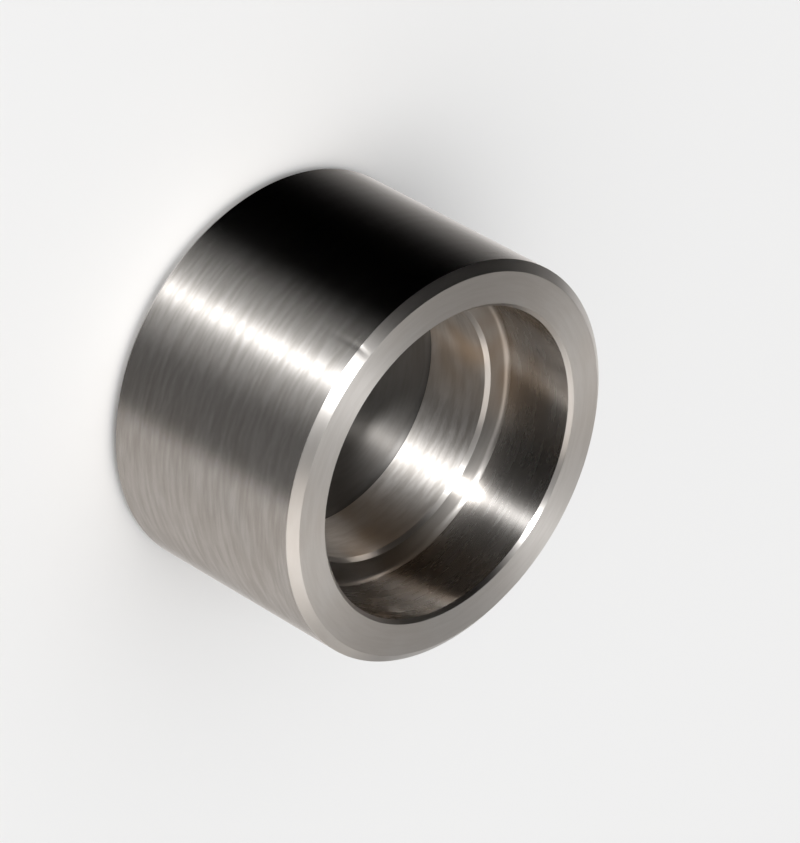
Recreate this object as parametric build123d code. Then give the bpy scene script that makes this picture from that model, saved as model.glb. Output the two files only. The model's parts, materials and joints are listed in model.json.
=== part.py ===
from build123d import *
import os

# Cap for the end of a steel pipe, turned from solid bar in one piece.
# It stands on its closed end, with its axis on +Z and its mouth up.
# The pipe slides into the socket, stops at the shoulder, and is welded round the mouth.
# All sizes are in millimetres.

# Outer form
outside_diameter = 63.0
overall_length = 38.5
mouth_chamfer_width = 1.45
mouth_chamfer_height = 1.15
base_chamfer = 1.2

# Socket for a pipe of 48.3 outside diameter
socket_diameter = 49.0
socket_depth = 13.3
socket_mouth_bevel = 0.6
socket_corner_radius = 0.8

# Blind recess, as wide as the bore of the pipe
recess_diameter = 41.0
end_wall_thickness = 12.5
shoulder_bevel = 0.6
floor_corner_radius = 0.8

# Slight flat that the deburring leaves on each outer corner
edge_break = 0.15

outside_radius = outside_diameter / 2
socket_radius = socket_diameter / 2
recess_radius = recess_diameter / 2
shoulder_height = overall_length - socket_depth

# Corners of half the section, as distance from the axis and height above the base
base_centre = (0, 0)
base_inner = (outside_radius - base_chamfer, 0)
base_outer = (outside_radius, base_chamfer)
mouth_outer = (outside_radius, overall_length - mouth_chamfer_height)
mouth_inner = (outside_radius - mouth_chamfer_width, overall_length)
bevel_outer = (socket_radius + socket_mouth_bevel, overall_length)
bevel_inner = (socket_radius, overall_length - socket_mouth_bevel)
socket_corner = (socket_radius, shoulder_height)
shoulder_outer = (recess_radius + shoulder_bevel, shoulder_height)
shoulder_inner = (recess_radius, shoulder_height - shoulder_bevel)
floor_corner = (recess_radius, end_wall_thickness)
floor_centre = (0, end_wall_thickness)

outer_corners = [base_inner, base_outer, mouth_outer, mouth_inner]


def vertices_at(section, corners):
    """The section's vertices that lie at the named corners."""
    return [section.vertices().sort_by_distance(corner)[0] for corner in corners]


def half_section():
    """Half of the cap's section, with its inside corners rounded and its outer ones deburred."""
    section = make_face(Polyline(
        base_centre, base_inner, base_outer, mouth_outer, mouth_inner,
        bevel_outer, bevel_inner, socket_corner, shoulder_outer, shoulder_inner,
        floor_corner, floor_centre, close=True))
    section = fillet(vertices_at(section, [socket_corner]), socket_corner_radius)
    section = fillet(vertices_at(section, [floor_corner]), floor_corner_radius)
    return chamfer(vertices_at(section, outer_corners), edge_break)


def turn_cap():
    """The cap: its half section turned once round the axis."""
    return revolve(Plane.XZ * half_section(), Axis.Z)


os.makedirs("parts", exist_ok=True)
export_step(turn_cap(), "parts/pipe_cap.step")
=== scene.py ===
import json
import math

import bpy
from mathutils import Matrix, Vector


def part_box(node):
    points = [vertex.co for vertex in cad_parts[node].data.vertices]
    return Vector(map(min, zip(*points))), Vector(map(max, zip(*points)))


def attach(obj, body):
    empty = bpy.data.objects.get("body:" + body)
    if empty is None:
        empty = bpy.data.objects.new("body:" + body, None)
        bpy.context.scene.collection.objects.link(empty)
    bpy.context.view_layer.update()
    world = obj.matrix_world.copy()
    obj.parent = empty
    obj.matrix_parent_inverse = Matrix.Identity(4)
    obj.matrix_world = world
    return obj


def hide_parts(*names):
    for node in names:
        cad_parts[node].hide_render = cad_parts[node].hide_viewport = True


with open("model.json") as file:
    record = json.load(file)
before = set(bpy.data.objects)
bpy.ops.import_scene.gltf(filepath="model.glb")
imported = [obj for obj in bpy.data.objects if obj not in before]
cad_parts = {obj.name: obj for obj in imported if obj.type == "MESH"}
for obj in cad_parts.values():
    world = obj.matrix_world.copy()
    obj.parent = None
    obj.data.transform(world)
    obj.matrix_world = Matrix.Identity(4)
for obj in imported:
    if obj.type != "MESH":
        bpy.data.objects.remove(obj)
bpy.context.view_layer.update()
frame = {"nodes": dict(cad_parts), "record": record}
print("frame loaded:", sorted(frame["nodes"]))

mm = 0.001

# Sizes of the cap, all in metres. Height, outside and socket come from the frame.
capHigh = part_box("pipe_cap")[1]
socketMount = next(m for m in frame["record"]["mounts"] if m["name"] == "socket")
cap = {
    "outsideRadius": capHigh.x,
    "height": capHigh.z,
    "socketRadius": socketMount["dims"]["r_mm"] * mm,
    "mouthChamferWidth": 1.45 * mm,
    "mouthChamferHeight": 1.15 * mm,
    "baseChamfer": 1.2 * mm,
    "socketDepth": 13.3 * mm,
    "socketBevel": 0.6 * mm,
    "recessRadius": 20.5 * mm,
    "endWall": 12.5 * mm,
    "shoulderBevel": 0.6 * mm,
    "cornerRadius": 0.8 * mm,      # left by the nose of the boring tool
    "edgeRound": 0.13 * mm,        # deburred outer corners
    "innerEdgeRound": 0.1 * mm,
    "segments": 640,               # round the axis
    "rowStep": 4.0 * mm,           # between rows on a straight run
    "holdingRow": 0.12 * mm,       # from each end of a straight run, keeps it flat there
    "arcSteps": 5,                 # rows in each rounded corner, twice as many in the bored ones
}

# A small dent in the rim of the mouth, seen as a glint
nick = {
    "azimuth": -15.0,              # degrees from the front, towards +X
    "radius": 31.5 * mm,
    "height": 37.3 * mm,
    "reach": 0.7 * mm,
    "depth": 0.05 * mm,
    "lean": 0.8,                   # downward share of the push, against the inward one
}
axisLimit = 1e-9                   # points nearer to the axis than this lie on it


def roundCorner(before, corner, after, radius, steps):
    # the arc that rounds one corner, from the run before it to the run after it
    here = Vector(corner)
    back = (Vector(before) - here).normalized()
    on = (Vector(after) - here).normalized()
    half = back.angle(on) / 2
    reach = radius / math.tan(half)
    middle = here + (back + on).normalized() * (radius / math.sin(half))
    start, end = here + back * reach - middle, here + on * reach - middle
    sweep = start.angle_signed(end)
    return [middle + Matrix.Rotation(-sweep * i / steps, 2) @ start for i in range(steps + 1)]


def capOutline(c):
    # corners of half the section as (radius, height, rounding, finish of the run that follows)
    top, shoulder = c["height"], c["height"] - c["socketDepth"]
    outer, bore, recess = c["outsideRadius"], c["socketRadius"], c["recessRadius"]
    edge, fine, nose = c["edgeRound"], c["innerEdgeRound"], c["cornerRadius"]
    hold = c["holdingRow"]
    corners = [
        (0, 0, 0, "endFace"),
        (outer - c["baseChamfer"], 0, edge, "outerChamfer"),
        (outer, c["baseChamfer"], edge, "outerWall"),
        (outer, top - c["mouthChamferHeight"], edge, "outerChamfer"),
        (outer - c["mouthChamferWidth"], top, edge, "mouthFace"),
        (bore + c["socketBevel"], top, fine, "innerBevel"),
        (bore, top - c["socketBevel"], fine, "socketWall"),
        (bore, shoulder, nose, "shoulder"),
        (recess + c["shoulderBevel"], shoulder, fine, "innerBevel"),
        (recess, shoulder - c["shoulderBevel"], fine, "recessWall"),
        (recess, c["endWall"], nose, "recessFloor"),
        (0, c["endWall"], 0, "recessFloor"),
    ]
    rows = []
    for i, (radius, height, rounding, finish) in enumerate(corners):
        here = (radius, height)
        if rounding:
            steps = c["arcSteps"] * (2 if rounding == nose else 1)
            bend = roundCorner(corners[i - 1][:2], here, corners[i + 1][:2], rounding, steps)
        else:
            bend = [Vector(here)]
        if rows:
            last, lastFinish = rows[-1]
            run = (bend[0] - last).length
            steps = max(1, round(run / c["rowStep"]))
            places = [hold + (run - 2 * hold) * k / steps for k in range(steps + 1)]
            rows += [(last.lerp(bend[0], place / run), lastFinish) for place in places]
        rows += [(point, finish) for point in bend]
    return rows


def turnOutline(name, rows, segments, finishes):
    # one closed mesh: the outline turned round Z, with a rectangular UV map
    points, faces, kinds, uvs = [], [], [], []
    length = [0.0]
    for (a, _), (b, _) in zip(rows, rows[1:]):
        length.append(length[-1] + (b - a).length)
    ringStart = []
    for point, _ in rows:
        ringStart.append(len(points))
        if point.x < axisLimit:
            points.append((0, 0, point.y))
        else:
            turns = [math.tau * s / segments for s in range(segments)]
            points += [(point.x * math.cos(turn), point.x * math.sin(turn), point.y) for turn in turns]
    for r in range(len(rows) - 1):
        low, high = length[r] / length[-1], length[r + 1] / length[-1]
        lowPole, highPole = rows[r][0].x < axisLimit, rows[r + 1][0].x < axisLimit
        lowRing, highRing = ringStart[r], ringStart[r + 1]
        for s in range(segments):
            after = (s + 1) % segments
            left, right = s / segments, (s + 1) / segments
            middle = (left + right) / 2
            # each corner is (point, u, v)
            lowLeft = (lowRing, middle, low) if lowPole else (lowRing + s, left, low)
            highLeft = (highRing, middle, high) if highPole else (highRing + s, left, high)
            lowRight, highRight = (lowRing + after, right, low), (highRing + after, right, high)
            if lowPole:
                corners = [lowLeft, highRight, highLeft]
            elif highPole:
                corners = [lowLeft, lowRight, highLeft]
            else:
                corners = [lowLeft, lowRight, highRight, highLeft]
            faces.append([corner[0] for corner in corners])
            uvs += [corner[1:] for corner in corners]
            kinds.append(finishes[rows[r][1]])
    mesh = bpy.data.meshes.new(name)
    mesh.from_pydata(points, [], faces)
    mesh.polygons.foreach_set("material_index", kinds)
    mesh.polygons.foreach_set("use_smooth", [True] * len(faces))
    layer = mesh.uv_layers.new(name="OFBake")
    layer.data.foreach_set("uv", [value for uv in uvs for value in uv])
    mesh.update()
    piece = bpy.data.objects.new(name, mesh)
    bpy.context.scene.collection.objects.link(piece)
    return piece


def dentRim(piece, n):
    # pushes the metal in round one point, smoothly
    angle = math.radians(n["azimuth"])
    out = Vector((math.sin(angle), -math.cos(angle), 0))
    centre = out * n["radius"] + Vector((0, 0, n["height"]))
    push = -(out + Vector((0, 0, n["lean"]))).normalized() * n["depth"]
    for vertex in piece.data.vertices:
        away = (vertex.co - centre).length / n["reach"]
        if away < 1:
            vertex.co += push * (1 - away ** 2) ** 2


# Marks of the turning tool, the same on every finish
marks = {
    "streakRun": 4.0,              # the lower, the longer the streaks
    "streaks": 1800.0,             # per metre of the outline
    "rings": 3500.0,
    "ringRun": 0.15,
    "streakRange": (0.3, 0.7),     # of the noise, spread from none to full
    "ringRange": (0.25, 0.75),
    "heightShare": 0.6,            # height and radius both move along the outline,
    "radiusShare": 0.8,            # so walls, faces and chamfers all get rings
}

# Smudges, spots and stains, the stains partly painted warm reflection
smudgeAndReflection = {
    "patchSize": 12 * mm,
    "patchRange": (0.4, 0.68),
    "spotSize": 1.1 * mm,
    "spotRange": (0.7, 0.8),
    "stainScale": 0.8,             # against the patches
    "stainRange": (0.35, 0.6),
    "warmReflectionBand": (6 * mm, 16 * mm),  # either side of the middle: stain-free up to here, full from there; the brown at the sides is partly painted warm reflection, and the middle is kept clear for the highlight
}


def newGroup(name, inputs, outputs):
    group = bpy.data.node_groups.new(name, "ShaderNodeTree")
    for label, value in inputs.items():
        socket = group.interface.new_socket(name=label, in_out="INPUT", socket_type="NodeSocketFloat")
        socket.default_value = value
    for label in outputs:
        group.interface.new_socket(name=label, in_out="OUTPUT", socket_type="NodeSocketFloat")
    return group, group.nodes.new("NodeGroupInput").outputs, group.nodes.new("NodeGroupOutput").inputs


def feed(tree, socket, value):
    # a fixed number or colour is set on the socket, anything else is linked to it
    if isinstance(value, (int, float, tuple)):
        socket.default_value = value
    else:
        tree.links.new(value, socket)


def calc(tree, operation, *values):
    node = tree.nodes.new("ShaderNodeMath")
    node.operation = operation
    for socket, value in zip(node.inputs, values):
        feed(tree, socket, value)
    return node.outputs[0]


def spread(tree, value, low, high):
    # 0 below the range and 1 above it, smoothly at both ends
    node = tree.nodes.new("ShaderNodeMapRange")
    node.interpolation_type = "SMOOTHSTEP"
    numbers = {"Value": value, "From Min": low, "From Max": high}
    for label, number in numbers.items():
        feed(tree, node.inputs[label], number)
    return node.outputs["Result"]


def noise(tree, vector, scale, detail=2.0, rough=0.5):
    node = tree.nodes.new("ShaderNodeTexNoise")
    tree.links.new(vector, node.inputs["Vector"])
    node.inputs["Scale"].default_value = scale
    node.inputs["Detail"].default_value = detail
    node.inputs["Roughness"].default_value = rough
    return node.outputs["Fac"]


def turnedPosition(tree, around, along):
    # place on a turned surface: round the axis, and along the outline
    place = tree.nodes.new("ShaderNodeTexCoord").outputs["Object"]
    split = tree.nodes.new("ShaderNodeSeparateXYZ")
    tree.links.new(place, split.inputs[0])
    x, y, z = split.outputs
    squares = calc(tree, "ADD", calc(tree, "MULTIPLY", x, x), calc(tree, "MULTIPLY", y, y))
    radius = calc(tree, "SQRT", squares)
    safe = calc(tree, "MAXIMUM", radius, 0.01 * mm)
    outline = calc(
        tree, "ADD",
        calc(tree, "MULTIPLY", z, marks["heightShare"]),
        calc(tree, "MULTIPLY", radius, marks["radiusShare"]))
    join = tree.nodes.new("ShaderNodeCombineXYZ")
    feed(tree, join.inputs[0], calc(tree, "MULTIPLY", calc(tree, "DIVIDE", x, safe), around))
    feed(tree, join.inputs[1], calc(tree, "MULTIPLY", calc(tree, "DIVIDE", y, safe), around))
    feed(tree, join.inputs[2], calc(tree, "MULTIPLY", outline, along))
    return join.outputs[0]


def makeTurningMarks(m):
    # rings that the turning tool leaves, and short streaks along them
    inputs = {"Streak Run": m["streakRun"], "Streaks": m["streaks"], "Rings": m["rings"]}
    group, given, out = newGroup("turningMarks", inputs, ["Streak", "Ring"])
    alongStreaks = turnedPosition(group, given["Streak Run"], given["Streaks"])
    alongRings = turnedPosition(group, m["ringRun"], given["Rings"])
    streak = noise(group, alongStreaks, 1.0, detail=3.0, rough=0.6)
    ring = noise(group, alongRings, 1.0, detail=1.0)
    group.links.new(spread(group, streak, *m["streakRange"]), out["Streak"])
    group.links.new(spread(group, ring, *m["ringRange"]), out["Ring"])
    return group


def makeSmudgesAndReflection(s):
    # broad faint patches from handling and coolant, sparse small spots, and stains at the sides, which are
    # partly painted warm reflection
    inputs = {"Patch Size": s["patchSize"], "Spot Size": s["spotSize"]}
    group, given, out = newGroup("smudgesAndReflection", inputs, ["Patch", "Spot", "Stain And Reflection"])
    place = group.nodes.new("ShaderNodeTexCoord").outputs["Object"]
    scaledPlace = {}
    for label in inputs:
        scaled = group.nodes.new("ShaderNodeVectorMath")
        scaled.operation = "SCALE"
        group.links.new(place, scaled.inputs[0])
        group.links.new(calc(group, "DIVIDE", 1.0, given[label]), scaled.inputs["Scale"])
        scaledPlace[label] = scaled.outputs[0]
    patch = noise(group, scaledPlace["Patch Size"], 1.0, detail=3.0, rough=0.55)
    spot = noise(group, scaledPlace["Spot Size"], 1.0, detail=1.0)
    group.links.new(spread(group, patch, *s["patchRange"]), out["Patch"])
    group.links.new(spread(group, spot, *s["spotRange"]), out["Spot"])
    split = group.nodes.new("ShaderNodeSeparateXYZ")
    group.links.new(place, split.inputs[0])
    # painted warm reflection: the brown goes only to either side of the middle plane facing the front, and
    # stays off the middle where the highlight lies
    sides = spread(group, calc(group, "ABSOLUTE", split.outputs[0]), *s["warmReflectionBand"])
    stainAndReflection = noise(group, scaledPlace["Patch Size"], s["stainScale"], rough=0.6)
    group.links.new(calc(group, "MULTIPLY", sides, spread(group, stainAndReflection, *s["stainRange"])), out["Stain And Reflection"])
    return group


steel = {
    "colour": (0.67, 0.65, 0.63),
    "markColour": (0.52, 0.495, 0.465),     # in the turning marks
    "stainAndReflectionColour": (0.47, 0.36, 0.26),      # faint heat and coolant stains, and painted warm reflection at the sides of the bore
    "finishes": {
        # name: roughness, anisotropy, tone, streak contrast, ring depth, stain. Inside the bore a tone below
        # 1 is painted shade; the stain is partly painted warm reflection
        "endFace": (0.42, 0.85, 1.0, 0.6, 0.4, 0.2),
        "outerWall": (0.25, 1.0, 1.0, 0.7, 0.1, 0.08),
        "outerChamfer": (0.4, 0.87, 1.0, 0.3, 0.2, 0.05),
        "mouthFace": (0.44, 0.75, 1.0, 0.3, 0.2, 0.1),
        "innerBevel": (0.35, 0.9, 0.9, 0.3, 0.2, 0.2),
        # painted shade: the socket wall and shoulder are darker steel where the bore lies in shade
        "socketWall": (0.27, 1.0, 0.55, 0.5, 0.0, 0.8),
        "shoulder": (0.38, 0.86, 0.68, 0.4, 0.1, 0.6),
        "recessWall": (0.44, 0.88, 0.95, 0.8, 0.1, 0.85),
        # painted shadow: a tone of 0.18 makes the floor nearly black, standing in for the shadow deep in the
        # bore
        "recessFloor": (0.55, 0.93, 0.18, 0.5, 0.1, 0.2),
    },
    "ringHeight": 0.004 * mm,
    "spotTint": 0.3,
    "swing": 0.16,                          # of the roughness, with the streaks and patches
    "streakShare": 0.7,                     # of the swing, the rest comes from the patches
}

turningMarks = makeTurningMarks(marks)
smudgesAndReflection = makeSmudgesAndReflection(smudgeAndReflection)


def steelMaterial(name, roughness, anisotropy, tone, contrast, depth, stainAndReflection):
    material = bpy.data.materials.new(name)
    material.use_nodes = True
    tree = material.node_tree
    shader = tree.nodes["Principled BSDF"]
    tooled = tree.nodes.new("ShaderNodeGroup")
    tooled.node_tree = turningMarks
    dirtAndReflection = tree.nodes.new("ShaderNodeGroup")
    dirtAndReflection.node_tree = smudgesAndReflection
    streak, ring = tooled.outputs["Streak"], tooled.outputs["Ring"]
    patch, spot = dirtAndReflection.outputs["Patch"], dirtAndReflection.outputs["Spot"]

    def tinted(amount, base, over):
        node = tree.nodes.new("ShaderNodeMix")
        node.data_type = "RGBA"
        feed(tree, node.inputs["Factor"], amount)
        feed(tree, node.inputs[6], base)    # the colour sockets A and B
        feed(tree, node.inputs[7], over)
        return node.outputs[2]

    def toned(colour):
        # the finish's tone scales the colour; inside the bore a tone below 1 is painted shade
        return (*[tone * channel for channel in steel[colour]], 1)

    def part(value, amount):
        return calc(tree, "MULTIPLY", value, amount)

    marked = tinted(part(streak, contrast), toned("colour"), toned("markColour"))
    # partly real stain, partly painted warm reflection: brown mixed in at the sides of the bore
    stainedAndReflecting = tinted(part(dirtAndReflection.outputs["Stain And Reflection"], stainAndReflection), marked, toned("stainAndReflectionColour"))
    spotted = tinted(part(spot, steel["spotTint"] * contrast), stainedAndReflecting, toned("markColour"))
    tree.links.new(spotted, shader.inputs["Base Color"])
    share = steel["streakShare"]
    uneven = calc(tree, "ADD", part(streak, share), part(patch, 1 - share))
    swing = part(calc(tree, "SUBTRACT", 0.5, uneven), steel["swing"] * contrast * roughness)
    tree.links.new(calc(tree, "ADD", roughness, swing), shader.inputs["Roughness"])
    bump = tree.nodes.new("ShaderNodeBump")
    bump.inputs["Strength"].default_value = depth
    bump.inputs["Distance"].default_value = steel["ringHeight"]
    tree.links.new(ring, bump.inputs["Height"])
    tree.links.new(bump.outputs[0], shader.inputs["Normal"])
    tangent = tree.nodes.new("ShaderNodeTangent")
    tangent.direction_type = "RADIAL"
    tangent.axis = "Z"
    tree.links.new(tangent.outputs[0], shader.inputs["Tangent"])
    shader.inputs["Metallic"].default_value = 1
    shader.inputs["Anisotropic"].default_value = anisotropy
    shader.inputs["Anisotropic Rotation"].default_value = 0.25  # a quarter turn: gloss runs across the rings
    return material


finishIndex = {name: i for i, name in enumerate(steel["finishes"])}
turnedCap = turnOutline("turned_cap", capOutline(cap), cap["segments"], finishIndex)
dentRim(turnedCap, nick)
for name, numbers in steel["finishes"].items():
    turnedCap.data.materials.append(steelMaterial(name, *numbers))
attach(turnedCap, "root")
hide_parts("pipe_cap")
print("cap turned:", len(turnedCap.data.polygons), "faces")

# Floor, hidden from the steel's reflections, which see the light tent instead
floor = {"half": 6.0, "colour": (0.87, 0.87, 0.87), "roughness": 0.9, "specular": 0.0}


def plainMaterial(name, colour, roughness, specular):
    material = bpy.data.materials.new(name)
    material.use_nodes = True
    shader = material.node_tree.nodes["Principled BSDF"]
    shader.inputs["Base Color"].default_value = (*colour, 1)
    shader.inputs["Roughness"].default_value = roughness
    shader.inputs["Specular IOR Level"].default_value = specular
    return material


def layFloor(f):
    mesh = bpy.data.meshes.new("floor")
    corners = [(-1, -1), (1, -1), (1, 1), (-1, 1)]
    mesh.from_pydata([(x * f["half"], y * f["half"], 0) for x, y in corners], [], [(0, 1, 2, 3)])
    mesh.materials.append(plainMaterial("paleFloor", f["colour"], f["roughness"], f["specular"]))
    plane = bpy.data.objects.new("floor", mesh)
    bpy.context.scene.collection.objects.link(plane)
    plane.visible_glossy = False


layFloor(floor)
print("floor laid")

# Light tent: soft panels round the cap, seen only in the steel
tent = {
    "radius": 3.0,
    "segments": 96,
    "rings": 48,
    "panels": {
        # name: azimuth, half width, elevation, half height and softness in degrees, strength, colour
        "tableFront": (-12, 18, -20, 40, 42, 0.64, (1.0, 0.99, 0.97)),
        "tableMiddle": (30, 28, -20, 40, 20, 0.15, (1.0, 0.97, 0.95)),
        "tableRight": (105, 47, -30, 20, 14, 0.5, (1.0, 0.95, 0.91)),
        "windowRight": (105, 47, 0, 18, 14, 0.9, (1.0, 0.96, 0.92)),
        "windowHigh": (90, 45, 44, 17, 14, 1.7, (1.0, 0.95, 0.9)),
        "tableBack": (-158, 30, -20, 30, 30, 0.38, (1.0, 0.97, 0.95)),
        "tableFar": (-177, 27, -20, 22, 14, 1.05, (1.0, 0.98, 0.97)),
        "backWall": (172, 20, 45, 8, 10, 1.65, (1.0, 0.97, 0.94)),
        "roofFront": (-4, 54, 64, 7, 10, 1.8, (1.0, 0.98, 0.96)),
    },
}


def makeSoftPanel():
    group, given, out = newGroup(
        "softPanel",
        {"Azimuth": 0, "Elevation": 0, "At Azimuth": 0, "Half Width": 10, "At Elevation": 0,
         "Half Height": 10, "Softness": 5, "Strength": 1},
        ["Light"])
    fromMiddle = calc(group, "SUBTRACT", given["Azimuth"], given["At Azimuth"])
    turned = calc(group, "WRAP", fromMiddle, 180.0, -180.0)
    sides = ((turned, given["Half Width"]),
             (calc(group, "SUBTRACT", given["Elevation"], given["At Elevation"]), given["Half Height"]))
    masks = []
    for offset, half in sides:
        inside = calc(group, "SUBTRACT", half, calc(group, "ABSOLUTE", offset))
        # the edge fades half inside and half outside the panel
        masks.append(spread(group, calc(group, "DIVIDE", inside, given["Softness"]), -0.5, 0.5))
    light = calc(group, "MULTIPLY", calc(group, "MULTIPLY", *masks), given["Strength"])
    group.links.new(light, out["Light"])
    return group


def tentMaterial(panels):
    softPanel = makeSoftPanel()
    material = bpy.data.materials.new("lightTent")
    material.use_nodes = True
    tree = material.node_tree
    tree.nodes.clear()
    place = tree.nodes.new("ShaderNodeTexCoord").outputs["Object"]
    unit = tree.nodes.new("ShaderNodeVectorMath")
    unit.operation = "NORMALIZE"
    tree.links.new(place, unit.inputs[0])
    split = tree.nodes.new("ShaderNodeSeparateXYZ")
    tree.links.new(unit.outputs[0], split.inputs[0])
    x, y, z = split.outputs
    azimuth = calc(tree, "DEGREES", calc(tree, "ARCTAN2", x, calc(tree, "MULTIPLY", y, -1.0)))
    elevation = calc(tree, "DEGREES", calc(tree, "ARCSINE", z))
    total = (0.0, 0.0, 0.0)
    for name, (at, halfWidth, up, halfHeight, softness, strength, colour) in panels.items():
        panel = tree.nodes.new("ShaderNodeGroup")
        panel.node_tree = softPanel
        panel.label = name
        numbers = {"Azimuth": azimuth, "Elevation": elevation, "At Azimuth": at, "Half Width": halfWidth,
                   "At Elevation": up, "Half Height": halfHeight, "Softness": softness, "Strength": strength}
        for label, value in numbers.items():
            feed(tree, panel.inputs[label], value)
        tint = tree.nodes.new("ShaderNodeVectorMath")
        tint.operation = "SCALE"
        tint.inputs[0].default_value = colour
        tree.links.new(panel.outputs["Light"], tint.inputs["Scale"])
        both = tree.nodes.new("ShaderNodeVectorMath")
        feed(tree, both.inputs[0], total)
        feed(tree, both.inputs[1], tint.outputs[0])
        total = both.outputs[0]
    glow = tree.nodes.new("ShaderNodeEmission")
    tree.links.new(total, glow.inputs["Color"])
    tree.links.new(glow.outputs[0], tree.nodes.new("ShaderNodeOutputMaterial").inputs["Surface"])
    material.cycles.emission_sampling = "NONE"
    return material


def raiseTent(t):
    bpy.ops.mesh.primitive_uv_sphere_add(
        segments=t["segments"], ring_count=t["rings"], radius=t["radius"], location=(0, 0, 0))
    ball = bpy.context.object
    ball.name = "light_tent"
    ball.data.materials.append(tentMaterial(t["panels"]))
    ball.visible_camera = ball.visible_diffuse = ball.visible_shadow = False


raiseTent(tent)
print("tent raised:", len(tent["panels"]), "panels")

# A compact lamp beside the camera makes the bright lines along the axis, a soft box lights the floor
lamps = {
    # name: azimuth, elevation, distance, width, height, radiance, colour, whether it lights the floor
    "flash": (-9, 34.5, 1.3, 0.07, 0.045, 3000, (1.0, 0.99, 0.98), False),
    "softBox": (20, 70, 1.6, 0.9, 0.9, 2.0, (1.0, 0.99, 0.98), True),
}


def hangLamps(rig):
    for name, (azimuth, elevation, distance, width, height, radiance, colour, onFloor) in rig.items():
        light = bpy.data.lights.new(name, "AREA")
        light.shape = "RECTANGLE"
        light.size, light.size_y = width, height
        light.energy = math.pi * radiance * width * height  # watts that give this radiance
        light.color = colour
        lamp = bpy.data.objects.new(name, light)
        bpy.context.scene.collection.objects.link(lamp)
        around, up = math.radians(azimuth), math.radians(elevation)
        out = Vector((math.sin(around) * math.cos(up), -math.cos(around) * math.cos(up), math.sin(up)))
        lamp.location = out * distance + Vector((0, 0, cap["height"] / 2))
        lamp.rotation_euler = out.to_track_quat("Z", "Y").to_euler()
        lamp.visible_camera = False
        lamp.visible_diffuse = onFloor
        lamp.visible_glossy = not onFloor


hangLamps(lamps)
print("lights placed:", ", ".join(lamps))

# Camera at the photograph's viewing angle
camera = {
    "place": (0, -0.66309, 0.53606),
    "lookDown": 37.543,            # degrees, as are the next two
    "turn": 0.167,
    "roll": 118.895,
    "lens": 245.67,                # mm, as is the sensor's width
    "sensor": 36,
    "nearest": 0.01,
    "farthest": 50,
}


def placeCamera(c):
    data = bpy.data.cameras.new("camera")
    data.lens = c["lens"]
    data.sensor_width = c["sensor"]
    data.clip_start, data.clip_end = c["nearest"], c["farthest"]
    eye = bpy.data.objects.new("camera", data)
    bpy.context.scene.collection.objects.link(eye)
    eye.matrix_world = (
        Matrix.Translation(c["place"])
        @ Matrix.Rotation(math.radians(c["turn"]), 4, "Z")
        @ Matrix.Rotation(math.radians(90 - c["lookDown"]), 4, "X")
        @ Matrix.Rotation(math.radians(c["roll"]), 4, "Z")
    )
    bpy.context.scene.camera = eye


placeCamera(camera)
print("camera placed")

# World: even pale light all round, and behind the floor a backdrop of the far floor's tone
studio = {"light": (0.85, 0.85, 0.85), "backdrop": (0.77, 0.77, 0.77)}


def lightWorld(s):
    world = bpy.data.worlds.new("studio")
    bpy.context.scene.world = world
    world.use_nodes = True
    tree = world.node_tree
    pick = tree.nodes.new("ShaderNodeMix")
    pick.data_type = "RGBA"
    seen = tree.nodes.new("ShaderNodeLightPath").outputs["Is Camera Ray"]
    feed(tree, pick.inputs["Factor"], seen)
    feed(tree, pick.inputs[6], (*s["light"], 1))      # the colour sockets A and B
    feed(tree, pick.inputs[7], (*s["backdrop"], 1))
    tree.links.new(pick.outputs[2], tree.nodes["Background"].inputs["Color"])


lightWorld(studio)
print("world lit")

bpy.context.scene.view_settings.view_transform = "Standard"
